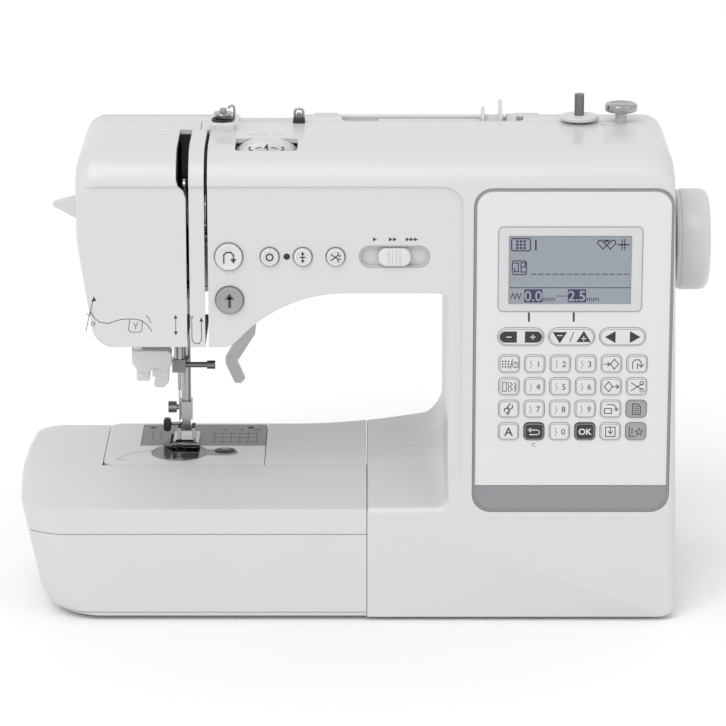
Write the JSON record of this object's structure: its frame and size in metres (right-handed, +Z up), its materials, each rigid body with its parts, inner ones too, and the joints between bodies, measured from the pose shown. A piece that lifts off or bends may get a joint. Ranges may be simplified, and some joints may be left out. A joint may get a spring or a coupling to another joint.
{
  "type": "sewing machine",
  "caption": "Computerised free-arm sewing machine with a display, keypad, drop-in bobbin, needle threader, handwheel and slide-off bed extension.",
  "frame": {"origin": "on the table surface under the middle of the machine's bounding box", "axes": "+X to the handwheel side, +Y to the rear, +Z up"},
  "size_m": [0.413, 0.176, 0.302],
  "materials": {
    "white_shell": "satin",
    "keys": "satin",
    "grey_plastic": "satin",
    "dark_plastic": "matt",
    "ivory_plastic": "satin",
    "rubber": "matt",
    "steel": "satin",
    "chrome": "polished",
    "plate_steel": "satin",
    "casting": "cast",
    "bronze": "plain",
    "display": "satin",
    "board": "satin",
    "motor_paint": "satin",
    "clear": "polished"
  },
  "bodies": {
    "machine": {"front_housing": "white_shell", "rear_housing": "white_shell", "face_cover": "white_shell", "thread_guide_strip": "white_shell", "base_plate": "grey_plastic", "rubber_feet": "rubber", "free_arm_shell": "white_shell", "plate_cover": "white_shell", "needle_plate": "plate_steel", "cast_frame": "casting", "control_panel": "white_shell", "display_module": "display", "circuit_boards": "board", "power_inlet": "dark_plastic", "main_motor": "motor_paint", "stepping_motors": "motor_paint", "shaft_bushes": "bronze", "housing_screws": "steel", "tension_discs": "steel", "thread_guides": "chrome", "winder_stop": "chrome", "bobbin_case": "dark_plastic", "drive_belts": "rubber"},
    "main_shaft": {"main_shaft": "steel", "handwheel": "white_shell"},
    "lower_shaft": {"lower_shaft": "steel"},
    "motor_pulley": {"motor_pulley": "steel"},
    "rotary_hook": {"rotary_hook": "steel"},
    "bobbin": {"bobbin": "clear"},
    "bobbin_cover": {"bobbin_cover": "clear"},
    "needle_bar": {"needle_bar": "chrome", "needle_clamp": "steel", "needle": "steel"},
    "take_up_lever": {"take_up_lever": "chrome"},
    "presser_bar": {"presser_bar": "chrome"},
    "presser_foot": {"presser_foot": "chrome"},
    "presser_lifter": {"presser_lifter": "ivory_plastic"},
    "threader": {"threader_lever": "white_shell", "needle_threader": "ivory_plastic"},
    "buttonhole_lever": {"buttonhole_lever": "ivory_plastic"},
    "feed_dogs": {"feed_dogs": "steel"},
    "tension_dial": {"tension_dial": "white_shell"},
    "carry_handle": {"carry_handle": "white_shell"},
    "spool_pin": {"spool_pin": "white_shell"},
    "spool_cap": {"spool_cap": "white_shell"},
    "winder_carriage": {"winder_carriage": "white_shell"},
    "winder_shaft": {"winder_shaft": "dark_plastic"},
    "bed_extension": {"bed_extension": "white_shell"},
    "accessory_door": {"accessory_door": "white_shell"},
    "reverse_button": {"reverse_button": "keys"},
    "start_stop_button": {"start_stop_button": "grey_plastic"},
    "reinforcement_button": {"reinforcement_button": "keys"},
    "needle_position_button": {"needle_position_button": "keys"},
    "cutter_button": {"cutter_button": "keys"},
    "speed_slider": {"speed_slider": "keys"},
    "power_switch": {"power_switch": "dark_plastic"},
    "keypad": {"keypad": "keys"},
    "width_rocker": {"width_rocker": "keys"},
    "length_rocker": {"length_rocker": "keys"},
    "cursor_rocker": {"cursor_rocker": "keys"}
  },
  "joints": [
    {"name": "handwheel_turn", "type": "hinge", "parent": "machine", "child": "main_shaft", "pos_m": [0.19, 0.003, 0.212], "axis": [1, 0, 0], "continuous": true},
    {"name": "motor_turn", "type": "hinge", "parent": "machine", "child": "motor_pulley", "pos_m": [0.12, -0.043, 0.112], "axis": [1, 0, 0], "continuous": true},
    {"name": "lower_shaft_turn", "type": "hinge", "parent": "machine", "child": "lower_shaft", "pos_m": [0.02, 0.007, 0.03], "axis": [1, 0, 0], "continuous": true},
    {"name": "hook_turn", "type": "hinge", "parent": "machine", "child": "rotary_hook", "pos_m": [-0.1128, -0.013, 0.06], "axis": [0, 0, 1], "continuous": true},
    {"name": "bobbin_turn", "type": "hinge", "parent": "machine", "child": "bobbin", "pos_m": [-0.1128, -0.013, 0.07], "axis": [0, 0, 1], "continuous": true},
    {"name": "bobbin_cover_lift", "type": "slide", "parent": "machine", "child": "bobbin_cover", "axis": [0, 0, 1], "range_m": [0, 0.01]},
    {"name": "needle_bar_stroke", "type": "slide", "parent": "machine", "child": "needle_bar", "axis": [0, 0, 1], "range_m": [-0.03, 0]},
    {"name": "take_up_swing", "type": "hinge", "parent": "machine", "child": "take_up_lever", "pos_m": [-0.1058, -0.026, 0.234], "axis": [1, 0, 0], "range_deg": [0, 40]},
    {"name": "presser_bar_lift", "type": "slide", "parent": "machine", "child": "presser_bar", "axis": [0, 0, 1], "range_m": [0, 0.006]},
    {"name": "presser_foot_tilt", "type": "hinge", "parent": "presser_bar", "child": "presser_foot", "pos_m": [-0.1096, 0.012, 0.0901], "axis": [1, 0, 0], "range_deg": [-1, 2.5]},
    {"name": "presser_lifter_swing", "type": "hinge", "parent": "machine", "child": "presser_lifter", "pos_m": [-0.07, 0.034, 0.192], "axis": [0, -1, 0], "range_deg": [0, 45]},
    {"name": "threader_lever_pull", "type": "slide", "parent": "machine", "child": "threader", "axis": [0, 0, 1], "range_m": [-0.022, 0], "stiffness_N_per_m": 30, "springref_m": 0.008},
    {"name": "buttonhole_lever_pull", "type": "slide", "parent": "machine", "child": "buttonhole_lever", "axis": [0, 0, 1], "range_m": [-0.038, 0]},
    {"name": "feed_dog_travel", "type": "slide", "parent": "machine", "child": "feed_dogs", "axis": [0, 1, 0], "range_m": [-0.0025, 0.0025]},
    {"name": "tension_dial_turn", "type": "hinge", "parent": "machine", "child": "tension_dial", "pos_m": [-0.0575, -0.06, 0.2595], "axis": [0, 1, 0], "range_deg": [-140, 140]},
    {"name": "carry_handle_fold", "type": "hinge", "parent": "machine", "child": "carry_handle", "pos_m": [0.0375, 0.076, 0.2645], "axis": [1, 0, 0], "range_deg": [-90, 0]},
    {"name": "spool_pin_swing", "type": "hinge", "parent": "machine", "child": "spool_pin", "pos_m": [0.088, 0.022, 0.279], "axis": [0, 1, 0], "range_deg": [0, 50]},
    {"name": "spool_cap_slide", "type": "slide", "parent": "spool_pin", "child": "spool_cap", "axis": [1, 0, 0], "range_m": [-0.055, 0]},
    {"name": "winder_shift", "type": "slide", "parent": "machine", "child": "winder_carriage", "axis": [1, 0, 0], "range_m": [0, 0.004]},
    {"name": "winder_turn", "type": "hinge", "parent": "winder_carriage", "child": "winder_shaft", "pos_m": [0.1278, 0, 0.29], "axis": [0, 0, 1], "continuous": true},
    {"name": "bed_extension_slide", "type": "slide", "parent": "machine", "child": "bed_extension", "axis": [1, 0, 0], "range_m": [-0.17, 0]},
    {"name": "accessory_door_fold", "type": "hinge", "parent": "bed_extension", "child": "accessory_door", "pos_m": [-0.1, -0.0855, 0.0071], "axis": [1, 0, 0], "range_deg": [0, 80]},
    {"name": "speed_slide", "type": "slide", "parent": "machine", "child": "speed_slider", "axis": [1, 0, 0], "range_m": [-0.01, 0.01]},
    {"name": "power_switch_rock", "type": "hinge", "parent": "machine", "child": "power_switch", "pos_m": [0.1805, -0.03, 0.04], "axis": [0, 1, 0], "range_deg": [-14, 0]},
    {"name": "keypad_press", "type": "slide", "parent": "machine", "child": "keypad", "axis": [0, 1, 0], "range_m": [0, 0.0007], "stiffness_N_per_m": 2500},
    {"name": "reverse_press", "type": "slide", "parent": "machine", "child": "reverse_button", "axis": [0, 1, 0], "range_m": [0, 0.0012], "stiffness_N_per_m": 1500},
    {"name": "start_stop_press", "type": "slide", "parent": "machine", "child": "start_stop_button", "axis": [0, 1, 0], "range_m": [0, 0.0012], "stiffness_N_per_m": 1500},
    {"name": "reinforcement_press", "type": "slide", "parent": "machine", "child": "reinforcement_button", "axis": [0, 1, 0], "range_m": [0, 0.0012], "stiffness_N_per_m": 1500},
    {"name": "needle_position_press", "type": "slide", "parent": "machine", "child": "needle_position_button", "axis": [0, 1, 0], "range_m": [0, 0.0012], "stiffness_N_per_m": 1500},
    {"name": "cutter_press", "type": "slide", "parent": "machine", "child": "cutter_button", "axis": [0, 1, 0], "range_m": [0, 0.0012], "stiffness_N_per_m": 1500},
    {"name": "width_rock", "type": "hinge", "parent": "machine", "child": "width_rocker", "pos_m": [0.0908, -0.0832, 0.176], "axis": [0, 0, 1], "range_deg": [-4, 4], "stiffness_Nm_per_rad": 0.5},
    {"name": "length_rock", "type": "hinge", "parent": "machine", "child": "length_rocker", "pos_m": [0.1205, -0.0832, 0.176], "axis": [0, 0, 1], "range_deg": [-4, 4], "stiffness_Nm_per_rad": 0.5},
    {"name": "cursor_rock", "type": "hinge", "parent": "machine", "child": "cursor_rocker", "pos_m": [0.1502, -0.0832, 0.176], "axis": [0, 0, 1], "range_deg": [-4, 4], "stiffness_Nm_per_rad": 0.5}
  ],
  "couplings": [
    {"joint": "motor_turn", "follows": "handwheel_turn", "ratio": 3.1875},
    {"joint": "lower_shaft_turn", "follows": "handwheel_turn", "ratio": 1},
    {"joint": "hook_turn", "follows": "handwheel_turn", "ratio": -2},
    {"joint": "take_up_swing", "follows": "needle_bar_stroke", "rad_per_m": -23},
    {"joint": "presser_bar_lift", "follows": "presser_lifter_swing", "m_per_rad": 0.0076}
  ]
}
